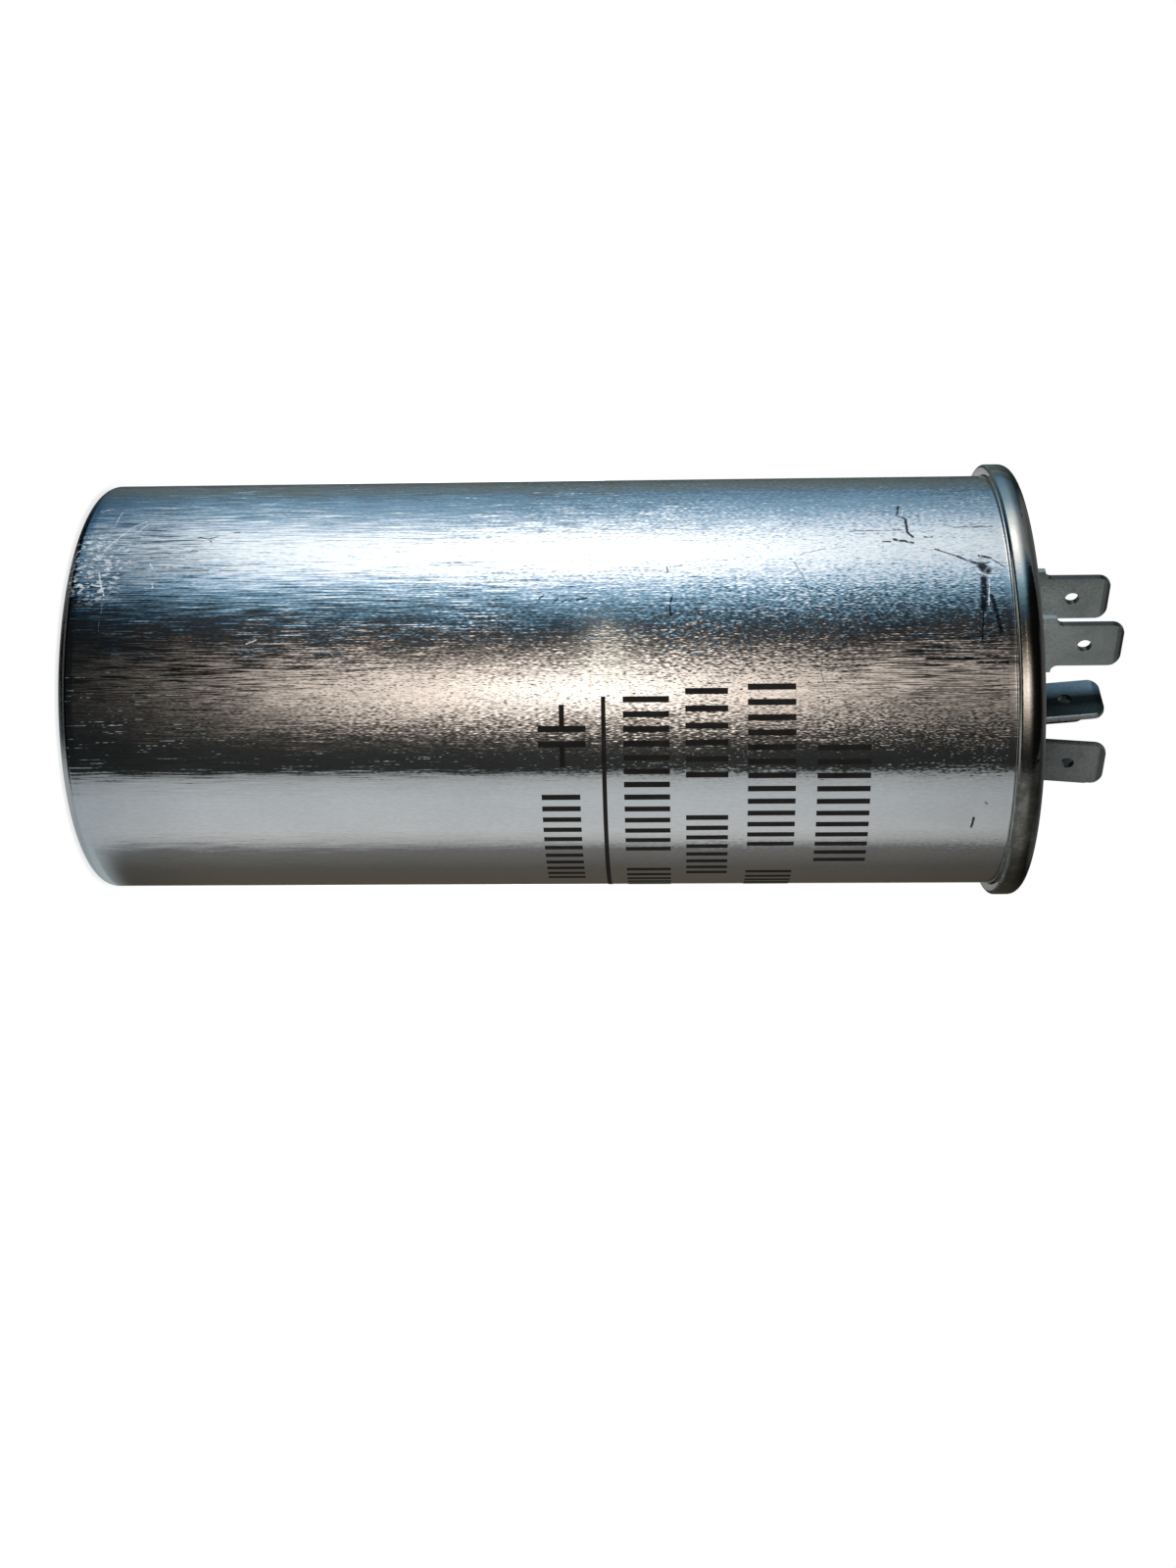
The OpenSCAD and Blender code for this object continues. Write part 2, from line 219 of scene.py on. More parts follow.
def pale_floor(radius=2.0, z=-0.0002, segments=96):
    """A disc just under the part that shows white and keeps the part's shadow."""
    mesh = bpy.data.meshes.new("floor")
    mesh.from_pydata(circle(radius, z, segments), [], [range(segments)])
    made = add_object("floor", mesh)
    paint, g = material("floor_pale")
    place = g.place()
    grain = g.noise(place, 300.0)
    away = g.smooth(g.length(place), 0.1, 0.25)
    tint = g.mix(grain, (0.42, 0.42, 0.42, 1), (0.44, 0.44, 0.44, 1))
    diffuse = g.node("BsdfDiffuse", {"Color": tint})
    glow = g.node("Emission", {"Color": (1, 1, 1, 1), "Strength": g.line(away, 0.6, 0.72)})
    both = g.node("AddShader", {0: diffuse.outputs[0], 1: glow.outputs[0]})
    pale = g.node("BsdfDiffuse", {"Color": (0.8, 0.8, 0.8, 1)})
    pick = g.node("MixShader", {0: white_rays(g), 1: pale.outputs[0], 2: both.outputs[0]})
    g.node("OutputMaterial", {"Surface": pick.outputs[0]})
    mesh.materials.append(paint)
    made.visible_glossy = False
    return made


floor = pale_floor()


def lamp(name, place, target, size, power):
    data = bpy.data.lights.new(name, "AREA")
    data.shape = "DISK"
    data.size = size
    data.energy = power
    made = bpy.data.objects.new(name, data)
    made.location = place
    aim = Vector(target) - Vector(place)
    made.rotation_euler = aim.to_track_quat("-Z", "Y").to_euler()
    made.visible_glossy = False
    scene.collection.objects.link(made)


lamp("key", (-0.28, -0.36, 0.8), (0, 0, 0.05), 0.6, 3.6)
lamp("side", (-0.5, -0.6, 0.35), (0, 0, 0.06), 0.5, 1.2)

# Cards by angle from the camera's side; the fourth value is the share of the fade towards the floor end
CARDS = [
    (-180, (0.40, 0.42, 0.43, 0.0)), (-170, (0.36, 0.37, 0.38, 0.2)), (-162, (0.07, 0.06, 0.045, 0.5)),
    (-126, (0.08, 0.075, 0.065, 0.5)), (-105, (0.13, 0.13, 0.13, 0.5)), (-97, (0.36, 0.37, 0.37, 0.4)),
    (-89, (0.44, 0.45, 0.46, 0.4)), (-66, (0.41, 0.44, 0.46, 0.4)), (-56, (0.35, 0.37, 0.38, 0.4)),
    (-51.4, (0.25, 0.265, 0.27, 0.4)), (-49.8, (0.021, 0.023, 0.022, 0.6)),
    (20, (0.018, 0.018, 0.018, 0.8)), (29, (0.03, 0.04, 0.05, 0.9)), (34, (0.045, 0.09, 0.13, 1.0)),
    (46, (0.22, 0.39, 0.53, 1.0)), (53, (0.45, 0.63, 0.82, 1.0)), (62, (0.82, 0.92, 1.0, 1.0)),
    (88, (0.82, 0.92, 1.0, 1.0)), (98, (0.48, 0.62, 0.78, 1.0)), (108, (0.24, 0.39, 0.52, 1.0)),
    (129, (0.13, 0.24, 0.35, 0.9)), (133, (0.08, 0.14, 0.20, 0.8)), (137, (0.10, 0.15, 0.18, 0.7)),
    (141, (0.20, 0.22, 0.18, 0.6)), (146, (0.06, 0.09, 0.11, 0.3)), (153, (0.14, 0.17, 0.17, 0.2)),
    (160, (0.06, 0.08, 0.09, 0.0)), (166, (0.03, 0.04, 0.045, 0.0)), (172, (0.36, 0.37, 0.38, 0.0)),
    (180, (0.40, 0.42, 0.43, 0.0)),
]


def room_mesh(radius=0.6, low=-0.5, high=0.45, crown=0.8, segments=96):
    """A round room: a flat floor, a straight wall and a domed ceiling."""
    rows = [(0.01, low), (radius, low), (radius, high)]
    rows += [(radius * math.cos(a), high + (crown - high) * math.sin(a))
             for a in (math.radians(d) for d in (15, 30, 45, 60, 75, 89))]
    points = [point for r, z in rows for point in circle(r, z, segments)]
    faces = [(j * segments + i, j * segments + (i + 1) % segments,
              (j + 1) * segments + (i + 1) % segments, (j + 1) * segments + i)
             for j in range(len(rows) - 1) for i in range(segments)]
    mesh = bpy.data.meshes.new("surroundings")
    mesh.from_pydata(points, [], faces)
    return mesh


def card_material():
    """Soft cards on the room's walls: sky, a white panel, a warm panel and dark flags."""
    made, g = material("surroundings_cards")
    x, y, z = g.from_front(g.place())
    angle = g.math("MULTIPLY", g.math("ARCTAN2", y, x), -180 / math.pi)
    # The lower edge of the sky rises towards both ends
    flank = g.product(g.smooth(angle, 15.0, 40.0), g.smooth(angle, 80.0, 60.0))
    far = g.math("DIVIDE", g.math("SUBTRACT", z, 0.03), 0.15)
    lift = g.product(g.product(far, far), g.product(flank, g.smooth(z, 0.0, 0.1, -7.0, -4.0)))
    around = g.line(g.math("ADD", angle, lift), 1 / 360, 0.5)
    base, fade_share = g.ramp(around, [((degrees + 180) / 360, colour) for degrees, colour in CARDS])
    # Towards the floor end the cards fade into blue, and far up and down into the dark
    near = g.smooth(z, -0.19, -0.105)
    fade = g.mix(near, (0.13, 0.22, 0.29, 1), (1, 1, 1, 1))
    base = g.mix(fade_share, base, g.mix(1.0, base, fade, "MULTIPLY"))
    base = g.scale(base, g.product(g.smooth(z, 0.08, 0.4, 1.15, 0.25), g.smooth(z, -0.5, -0.3, 0.1, 1.0)))
    low_end = g.product(g.smooth(z, -0.158, -0.172), g.smooth(angle, -58.0, -75.0))
    base = g.mix(low_end, base, (0.34, 0.39, 0.42, 1))
    # A grey ring on the floor and a grey dome behind, for views from above
    reach = g.reach(x, y)
    ring = g.product(g.smooth(reach, 0.17, 0.22), g.smooth(reach, 0.45, 0.40), g.smooth(z, -0.45, -0.48))
    base = g.mix(ring, base, (0.40, 0.42, 0.43, 1))
    dome = g.product(g.smooth(g.math("ABSOLUTE", angle), 80.0, 120.0), g.smooth(z, 0.42, 0.55))
    base = g.mix(dome, base, (0.27, 0.28, 0.29, 1))
    # White panel, warm panel, its bright core, a narrow glint next to it and a dim overhead panel
    dimmed = g.smooth(z, -0.19, -0.062)
    spots = [
        ((2.2, 2.2, 2.2), 1.0, (angle, 74.0, 8.5), (z, 0.02, 0.062)),
        ((1.4, 1.2, 1.05), dimmed, (angle, -5.5, 10.5), (z, 0.033, 0.11)),
        ((1.9, 1.85, 1.75), 0.8, (angle, -5.0, 5.0), (z, 0.04, 0.028)),
        ((1.9, 1.75, 1.5), 0.7, (angle, 11.0, 9.0), (z, 0.0445, 0.0045)),
        ((0.3, 0.3, 0.3), 1.0, (x, 0.0, 0.12), (y, 0.0, 0.12), (z, 0.8, 0.1)),
    ]
    for colour, share, *terms in spots:
        base = g.mix(g.math("MULTIPLY", g.gauss(*terms), share), base, (*colour, 1))
    light = g.node("Emission", {"Color": base, "Strength": 1.0})
    g.node("OutputMaterial", {"Surface": light.outputs[0]})
    return made


def surroundings():
    """The room with its cards, which only reflections see."""
    made = add_object("surroundings", room_mesh())
    made.data.materials.append(card_material())
    made.visible_camera = False
    made.visible_diffuse = False
    made.visible_shadow = False
    made.visible_transmission = False


surroundings()


# Materials

# Scratches as (half width in mm, points of angle in degrees and height in mm)
DARK_MARKS = [
    (0.13, (-36.1, 100.1), (-33.5, 102.6)), (0.2, (-33.5, 102.6), (-31.1, 104.8)),
    (0.8, (-30.4, 105.2), (-29.2, 105.7)), (0.5, (-27.9, 105.3), (-18.0, 105.0)),
    (0.14, (-18.0, 105.0), (-9.6, 104.6)), (0.34, (-21.5, 106.0), (-11.7, 106.8)),
    (0.22, (-33.7, 105.0), (-33.0, 106.3)), (0.09, (-32.4, 106.5), (-30.0, 107.8)),
    (0.22, (-53.5, 96.7), (-49.5, 96.3), (-47.5, 97.3), (-42.3, 97.2), (-40.4, 97.8)),
    (0.3, (-39.6, 95.7), (-38.3, 97.7)), (0.15, (-38.9, 94.3), (-38.8, 95.2)),
    (0.14, (-40.4, 99.1), (-40.4, 100.0)), (0.12, (-44.0, 102.7), (-44.2, 107.1)),
    (0.1, (-43.0, 90.4), (-43.2, 96.7)), (0.3, (-5.0, 98.4), (-4.9, 104.0)),
    (0.24, (-3.9, 104.0), (-3.8, 107.3)), (0.14, (-22.0, 55.0), (-23.1, 55.5)),
    (0.12, (-21.3, 56.7), (-21.9, 57.1)), (0.12, (-21.1, 57.6), (-21.6, 58.0)),
    (0.12, (-21.4, 58.4), (-21.9, 58.8)), (0.14, (-21.6, 59.3), (-22.1, 60.4)),
    (0.15, (-22.5, 70.1), (-19.4, 69.8), (-17.1, 69.9)), (0.12, (-31.1, 69.5), (-29.5, 69.6)),
    (0.2, (39.5, 104.0), (42.8, 103.9)), (0.16, (34.0, 105.2), (34.6, 105.4)),
    (0.1, (-38.3, 14.3), (-38.3, 15.0)), (0.1, (-43.6, 14.6), (-42.7, 15.9), (-43.5, 17.0)),
    (0.1, (-45.1, 18.8), (-45.1, 19.5)), (0.12, (-41.9, 16.2), (-41.6, 16.4)),
]
FAINT_MARKS = [
    (0.12, (-43.5, 6.7), (-44.1, 12.3)), (0.12, (-39.5, 10.9), (-39.5, 12.6)),
    (0.12, (-37.8, 11.3), (-37.0, 12.6)), (0.12, (-33.0, 10.5), (-31.4, 18.2)),
    (0.12, (-31.4, 10.6), (-31.4, 20.2)), (0.12, (-40.8, 6.5), (-41.8, 10.5)),
    (0.12, (-35.8, 8.1), (-36.3, 13.8)), (0.1, (-34.4, 84.2), (-36.6, 87.6), (-39.4, 90.2)),
    (0.1, (-32.4, 84.0), (-27.7, 85.0), (-19.0, 86.0), (-13.3, 86.9), (-1.7, 86.6), (8.6, 87.9)),
]
BRIGHT_MARKS = [
    (0.14, (-26.7, 60.4), (-25.3, 61.2), (-23.6, 61.0)), (0.08, (-13.1, 43.4), (-12.8, 57.8)),
    (0.08, (-10.5, 42.3), (-9.4, 57.8)), (0.08, (-9.3, 39.5), (-6.8, 49.5)),
    (0.08, (-6.9, 53.9), (-7.3, 71.6)), (0.1, (-51.5, 29.1), (-57.0, 34.8)),
    (0.06, (-24.1, 4.9), (-12.0, 4.6)), (0.05, (-14.0, 3.6), (-6.3, 36.2)),
    (0.1, (-11.3, 29.2), (-10.6, 31.5), (-12.2, 34.0), (-12.3, 38.1)),
    (0.07, (-11.6, 65.0), (-11.7, 70.5)), (0.07, (-8.0, 75.7), (-9.0, 78.9)),
    (0.07, (-7.0, 65.0), (-7.0, 73.4)), (0.07, (-4.2, 102.6), (-3.8, 107.6)),
]
SCUFF_MARKS = [
    (0.2, (-39.0, 4.0), (-46.7, 6.2)), (0.12, (-47.5, 6.3), (-50.4, 8.0)), (0.1, (-45.0, 7.1), (-49.1, 8.3)),
    (0.1, (-49.2, 4.4), (-55.3, 4.6)), (0.1, (-55.8, 2.0), (-57.2, 3.3)), (0.3, (-35.2, 4.7), (-33.9, 5.0)),
    (0.25, (-32.9, 4.8), (-32.0, 5.0)), (0.25, (-37.0, 3.2), (-35.6, 3.8)),
    (0.12, (-31.4, 3.9), (-27.1, 4.4), (-24.1, 4.9)), (0.15, (-34.1, 9.7), (-32.5, 10.0)),
    (0.12, (-27.5, 10.3), (-26.6, 10.4)), (0.09, (-10.4, 21.8), (-11.4, 22.9)),
    (0.1, (-52.0, 97.1), (-49.0, 96.9)), (0.1, (-46.5, 97.9), (-43.0, 97.8)),
    (0.1, (-38.9, 96.1), (-37.6, 98.1)), (0.12, (-28.6, 104.7), (-27.4, 106.2)),
    (0.1, (-26.5, 105.9), (-19.0, 105.6)),
]


def mark_mask(g, point, marks):
    """1 on the given scratches, 0 elsewhere; point is (arc, height) on the can in mm."""
    total = None
    for half, *places in marks:
        corners = [Vector((math.radians(angle) * CAN_R, height, 0.0)) for angle, height in places]
        for start, end in zip(corners, corners[1:]):
            span = end - start
            offset = g.vector("SUBTRACT", point, start)
            along = g.dot(offset, span / span.length_squared)
            share = g.node("Clamp", {0: along}).outputs[0]
            aside = g.vector("SUBTRACT", offset, g.scale(span, share))
            mask = g.smooth(g.length(aside), half, 0.4 * half)
            total = mask if total is None else g.math("MAXIMUM", total, mask)
    return total


def can_material():
    """Drawn aluminium: axial grain, a painted shade line round the floor's corner, scratches and scuffs."""
    made, g = material("drawn_aluminium")
    place = g.place()
    x, y, z = g.from_front(place)
    arc_mm = g.math("MULTIPLY", g.math("ARCTAN2", y, x), CAN_R)
    height_mm = g.math("MULTIPLY", z, 1000.0)
    grain = g.noise(g.stretch(place, (1, 1, 0.2)), 10000.0, 0.0)
    streak = g.noise(g.stretch(place, (1, 1, 0.025)), 10000.0, 0.0)
    patch = g.noise(g.stretch(place, (1, 1, 0.3)), 150.0, 2.0, 0.5)
    fine = g.noise(g.stretch(place, (1, 1, 0.22)), 6500.0, 0.0)
    # Patches with long dark lines, a patch with short weak grain, and a side that is smoother
    brushed = g.math("MAXIMUM", g.gauss((arc_mm, -0.5, 5.0), (height_mm, 100.0, 10.0)),
                     g.gauss((arc_mm, 1.0, 5.0), (height_mm, 16.0, 12.0)))
    low_patch = g.gauss((arc_mm, -16.5, 4.0), (height_mm, 9.0, 6.0))
    brushed = g.math("MAXIMUM", brushed, g.math("MULTIPLY", low_patch, 0.75))
    polished = g.gauss((arc_mm, 2.0, 4.5), (height_mm, 55.0, 20.0))
    smoother = g.product(g.smooth(arc_mm, 5.0, 11.0), g.smooth(arc_mm, 45.0, 36.0))
    # The grain tilts the surface sideways: long near the floor, short near the seam
    long_share = g.smooth(height_mm, 25.0, 90.0, 0.78, 0.3)
    long_share = g.math("MAXIMUM", long_share, g.math("MULTIPLY", brushed, 0.85))
    long_share = g.product(long_share, g.line(polished, -0.85, 1.0))
    drawn = g.node("Mix", {0: long_share, 2: grain, 3: streak}).outputs[0]
    lean = g.math("SUBTRACT", drawn, 0.5)
    rare = g.line(g.math("MULTIPLY", lean, lean), 12.0, 1.0)
    strength = g.product(g.smooth(patch, 0.3, 0.7, 0.7, 1.3), g.line(smoother, -0.85, 1.0),
                         g.line(brushed, 0.3, 0.6), g.line(polished, -0.5, 1.0),
                         g.smooth(height_mm, 107.3, 107.7, 1.0, 0.3))
    tilt = g.product(lean, rare, strength)
    smooth_normal = g.node("NewGeometry").outputs["Normal"]
    sideways = g.vector("CROSS_PRODUCT", (0.0, 0.0, 1.0), smooth_normal)
    leaning = g.vector("ADD", smooth_normal, g.scale(sideways, tilt))
    normal = g.node("VectorMath", {0: leaning}, operation="NORMALIZE").outputs[0]
    # Colour of the bare metal
    tint = g.ramp(g.noise(place, 120.0, 4.0), [(0.3, (0.82, 0.82, 0.82)), (0.7, (0.88, 0.88, 0.87))])[0]
    uneven = g.smooth(fine, 0.3, 0.7, g.line(smoother, 0.1, 0.86), 1.03)
    lines = g.smooth(streak, 0.42, 0.52, g.line(brushed, -0.8, 1.0), 1.0)
    tint = g.scale(tint, g.product(uneven, lines))
    # Painted shade: a dark line painted on the corner round the floor, weaker on the smoother side
    corner = g.product(g.smooth(height_mm, 1.3, 1.0), g.smooth(g.reach(x, y), 0.0236, 0.0241),
                       g.line(smoother, -0.8, 1.0))
    tint = g.scale(tint, g.line(corner, -0.85, 1.0))
    # Scratches and scuffs
    flat = g.node("CombineXYZ", {0: arc_mm, 1: height_mm}).outputs[0]
    shake = g.node("TexNoise", {"Vector": flat, "Scale": 1.2, "Detail": 2.0}).outputs
    wander = g.scale(g.vector("SUBTRACT", shake[1], (0.5, 0.5, 0.5)), 0.3)
    point = g.vector("MULTIPLY", g.vector("ADD", flat, wander), (1.0, 1.0, 0.0))
    broken = g.smooth(shake[0], 0.42, 0.56, 0.0, 0.6)
    worn = g.smooth(shake[0], 0.32, 0.5, 0.45, 1.0)
    faint = g.product(mark_mask(g, point, FAINT_MARKS), broken)
    dark = g.math("MAXIMUM", g.product(mark_mask(g, point, DARK_MARKS), worn), faint)
    bright = g.product(mark_mask(g, point, BRIGHT_MARKS), broken)
    scuffed = g.gauss((arc_mm, -15.2, 3.6), (height_mm, 3.6, 2.8))
    speck = g.noise(g.stretch(place, (1, 1, 0.45)), 3200.0, 1.0, 0.5)
    fleck = g.product(g.smooth(speck, 0.52, 0.62), g.smooth(scuffed, 0.15, 0.6))
    scuff = g.math("MAXIMUM", mark_mask(g, point, SCUFF_MARKS), fleck)
    scuff = g.product(scuff, g.smooth(fine, 0.3, 0.6, 0.3, 0.85))
    tint = g.mix(g.math("MULTIPLY", bright, 0.8), tint, (1.0, 1.0, 1.0, 1))
    tint = g.mix(g.math("MULTIPLY", dark, 0.95), tint, (0.012, 0.022, 0.032, 1))
    tint = g.mix(scuff, tint, (0.72, 0.80, 0.86, 1))
    rough = g.smooth(patch, 0.3, 0.7, 0.05, 0.09)
    rough = g.math("MULTIPLY_ADD", bright, 0.4, rough)
    rough = g.math("MULTIPLY_ADD", dark, 0.2, rough)
    metal = g.math("SUBTRACT", 1.0, scuff)
    g.shade(Base_Color=tint, Metallic=metal, Roughness=rough, Normal=normal)
    return made


def cloudy(g, place, scale, dark, light):
    """A tint that drifts between two colours."""
    return g.ramp(g.noise(place, scale, 4.0, 0.6), [(0.3, dark), (0.7, light)])[0]


def metal_shade(g, place, tint, rough=0.3, grain_scale=300.0, depth=4e-6):
    """Bare metal with a fine speckle in its gloss and its surface."""
    speck = g.noise(place, grain_scale * 9, 2.0, 0.5)
    dull = g.smooth(speck, 0.35, 0.7, rough - 0.06, rough + 0.08)
    g.shade(Base_Color=tint, Metallic=1.0, Roughness=dull, Normal=g.bump(speck, depth))


def plain_metal(name, dark, light, rough, grain_scale=300.0, depth=4e-6):
    made, g = material(name)
    place = g.place()
    metal_shade(g, place, cloudy(g, place, grain_scale, dark, light), rough, grain_scale, depth)
    return made


def two_way_material():
    """Dull tinned sheet, with painted shade on the cut edges that face -X, and darker at the tips."""
    made, g = material("tab_tin")
    place = g.place()
    z = g.parts(place)[2]
    tint = cloudy(g, place, 300.0, (0.36, 0.395, 0.37), (0.54, 0.575, 0.545))
    facing = g.parts(g.node("NewGeometry").outputs["True Normal"])[0]
    # Painted shade on the cut edges that face -X; the tips are darker too
    shaded_edges_and_dark_tips = g.product(g.smooth(facing, -0.55, -0.8), g.smooth(z, 0.1155, 0.116))
    shaded_edges_and_dark_tips = g.math("MAXIMUM", shaded_edges_and_dark_tips, g.smooth(z, 0.12295, 0.12335))
    metal_shade(g, place, g.scale(tint, g.line(shaded_edges_and_dark_tips, -0.75, 1.0)))
    return made


def four_way_material():
    """Tinned sheet, darker towards the base.

    The tab that faces -X has a painted reflection, nearly black towards -Y, and a painted highlight on its
    edge there.
    """
    made, g = material("tab_tin_tarnished")
    place = g.place()
    x, y, z = g.parts(place)
    tint = cloudy(g, place, 300.0, (0.20, 0.21, 0.20), (0.28, 0.29, 0.275))
    # Darker towards the base
    tint = g.scale(tint, g.smooth(z, 0.1145, 0.1225, 0.42, 1.0))
    # Depth behind the outer face of the tab that faces -X, which leans out by a tenth of its height
    behind = g.math("MULTIPLY_ADD", g.math("SUBTRACT", z, 0.1154), 0.105, g.math("SUBTRACT", x, 0.004))
    painted_reflection_area = g.product(g.smooth(behind, 0.0003, 0.00015), g.smooth(z, 0.1142, 0.1152))
    # Painted reflection: a gradient from near black to sky blue across that tab, multiplied into its tint
    painted_reflection = g.ramp(g.smooth(y, -0.0031, 0.0031), [
        (0.0, (0.12, 0.16, 0.16)), (0.12, (0.10, 0.13, 0.13)), (0.3, (0.03, 0.04, 0.038)),
        (0.55, (0.04, 0.05, 0.05)), (0.75, (0.30, 0.44, 0.55)), (1.0, (0.75, 1.05, 1.3)),
    ])[0]
    tint = g.mix(painted_reflection_area, tint, g.mix(1.0, tint, painted_reflection, "MULTIPLY"))
    # Painted highlight: a pale line along that tab's edge at -Y
    painted_edge_highlight = g.product(g.smooth(y, -0.00302, -0.00308), g.smooth(x, 0.006, 0.0055))
    metal_shade(g, place, g.mix(painted_edge_highlight, tint, (0.75, 0.78, 0.78, 1)))
    return made


def rim_material():
    """Tinplate: crowned outside the seam, with painted shade on its crest and on one side, blotchy and
    rougher there.
    """
    made, g = material("tinplate_dull")
    place = g.place()
    x, y, z = g.parts(place)
    reach = g.reach(x, y)
    crown = g.product(g.gauss((z, 0.10965, 0.00065)), g.smooth(reach, 0.0246, 0.0252, 0.0, 0.0002))
    speck = g.noise(place, 2600.0, 2.0, 0.5)
    normal = g.bump(g.math("MULTIPLY_ADD", speck, 9e-6, crown), 1.0)
    tint = cloudy(g, place, 260.0, (0.50, 0.48, 0.43), (0.62, 0.60, 0.55))
    across, aside, _ = g.from_front(place)
    angle = g.math("MULTIPLY", g.math("ARCTAN2", aside, across), 180 / math.pi)
    blotch = g.smooth(g.noise(place, 700.0, 4.0, 0.65), 0.25, 0.6, 0.6, 1.0)
    # Painted shade: the side from 12° to 130° round from the front is painted dark in blotches, and is also
    # rougher
    painted_side_shade = g.product(g.smooth(angle, 12.0, 30.0), g.smooth(angle, 130.0, 95.0), blotch,
                     g.smooth(reach, 0.0242, 0.0250))
    tint = g.mix(painted_side_shade, tint, (0.15, 0.145, 0.12, 1))
    # Painted shade: the crest of the seam is painted darker
    painted_crest_shade = g.product(g.smooth(z, 0.1101, 0.1109), g.smooth(reach, 0.0240, 0.0244))
    tint = g.scale(tint, g.line(painted_crest_shade, -0.7, 1.0))
    dull = g.smooth(speck, 0.35, 0.7, 0.07, 0.13)
    dull = g.math("MULTIPLY_ADD", painted_side_shade, 0.12, dull)
    g.shade(Base_Color=tint, Metallic=1.0, Roughness=dull, Normal=normal)
    return made


def plain_moulding(name, dark, light, rough, scale, depth, shine=0.5):
    made, g = material(name)
    place = g.place()
    tint = cloudy(g, place, scale, dark, light)
    fine = g.noise(place, scale * 12, 2.0, 0.5)
    dull = g.smooth(fine, 0.3, 0.7, rough - 0.05, rough + 0.08)
    g.shade(Base_Color=tint, Roughness=dull, Specular_IOR_Level=shine, Normal=g.bump(fine, depth))
    return made


aluminium = can_material()
tinplate = rim_material()
tab_tin = two_way_material()
tarnished_tin = four_way_material()
rivet_tin = plain_metal("rivet_tin", (0.45, 0.45, 0.44), (0.6, 0.6, 0.58), 0.28)
brass = plain_metal("lug_brass", (0.55, 0.42, 0.16), (0.72, 0.57, 0.25), 0.28)
copper = plain_metal("ribbon_copper", (0.62, 0.36, 0.23), (0.78, 0.48, 0.32), 0.25)
zinc = plain_metal("spray_zinc", (0.33, 0.33, 0.34), (0.5, 0.5, 0.51), 0.55, 700.0, 3e-5)
moulding = plain_moulding("black_moulding", (0.018, 0.018, 0.018), (0.035, 0.034, 0.033), 0.42, 200.0, 6e-6)
rubber = plain_moulding("seal_rubber", (0.03, 0.03, 0.03), (0.05, 0.05, 0.05), 0.7, 250.0, 1e-5)
board = plain_moulding("washer_board", (0.28, 0.14, 0.06), (0.36, 0.2, 0.09), 0.55, 250.0, 1e-5)
film = plain_moulding("winding_film", (0.62, 0.63, 0.64), (0.74, 0.75, 0.76), 0.3, 250.0, 1e-5)
liner = plain_moulding("liner_plastic", (0.70, 0.69, 0.64), (0.8, 0.79, 0.74), 0.45, 150.0, 1e-5)
ink = plain_moulding("print_ink", (0.006, 0.005, 0.004), (0.012, 0.011, 0.010), 0.45, 500.0, 3e-6, 0.2)


def dress(obj, paint):
    obj.data.materials.clear()
    obj.data.materials.append(paint)


by_node = {
    "cover": tinplate,
    "terminal_two_way": tab_tin, "terminal_four_way": tarnished_tin,
    "rivet_two_way": rivet_tin, "rivet_four_way": rivet_tin,
    "bushing_two_way": moulding, "bushing_four_way": moulding,
    "gasket_two_way": rubber, "gasket_four_way": rubber,
    "washer_two_way": board, "washer_four_way": board,
    "lug_two_way": brass, "lug_four_way": brass,
    "upper_lead": copper, "lower_lead": copper,
    "winding": film, "upper_spray": zinc, "lower_spray": zinc,
    "lower_spacer": liner, "upper_spacer": liner, "sleeve": liner, "core_tube": liner,
}
for node_name, paint in by_node.items():
    dress(nodes[node_name], paint)


# Can

def arc(centre, radius, start, end, steps):
    """Points on an arc, angles in degrees."""
    turns = [math.radians(start + (end - start) * i / steps) for i in range(steps + 1)]
    return [(centre[0] + radius * math.cos(a), centre[1] + radius * math.sin(a)) for a in turns]


ON_AXIS = 1e-6
CREASE_ANGLE = math.radians(35)


def lathe(name, section, segments, shape):
    """A closed mesh turned round Z from a section that starts and ends on the axis.

    The section is (radius, z) points in mm. shape gives the radius for a radius, an angle in radians and a z.
    """
    points, rings = [], []
    for r, z in section:
        if r < ON_AXIS:
            rings.append([len(points)])
            points.append((0.0, 0.0, z * MM))
            continue
        rings.append(range(len(points), len(points) + segments))
        for i in range(segments):
            a = 2 * math.pi * i / segments
            moved = shape(r, a, z)
            points.append((moved * math.cos(a) * MM, moved * math.sin(a) * MM, z * MM))
    faces = []
    for below, above in zip(rings, rings[1:]):
        for i in range(segments):
            j = (i + 1) % segments
            if len(below) == 1:
                faces.append((below[0], above[j], above[i]))
            elif len(above) == 1:
                faces.append((below[i], below[j], above[0]))
            else:
                faces.append((below[i], below[j], above[j], above[i]))
    mesh = bpy.data.meshes.new(name)
    mesh.from_pydata(points, [], faces)
    mesh.shade_smooth()
    mesh.set_sharp_from_angle(angle=CREASE_ANGLE)
    return add_object(name, mesh)


# Dents as (angle, z, half width round, half length along, depth), in degrees and mm
DENTS = [(-29.8, 105.4, 1.0, 0.8, 0.03), (40.0, 103.8, 1.5, 1.5, 0.02)]
# Waves as (height in mm, waves round the can, twist in radians per mm, start in radians)
WAVES = [(0.003, 3, 0.09, 0.0), (0.002, 7, -0.13, 1.0)]
# The waves lie this deep in the wall, and fade out over this length at both ends, in mm
WAVE_DEPTH = 0.005
WAVE_EASE = 3.0


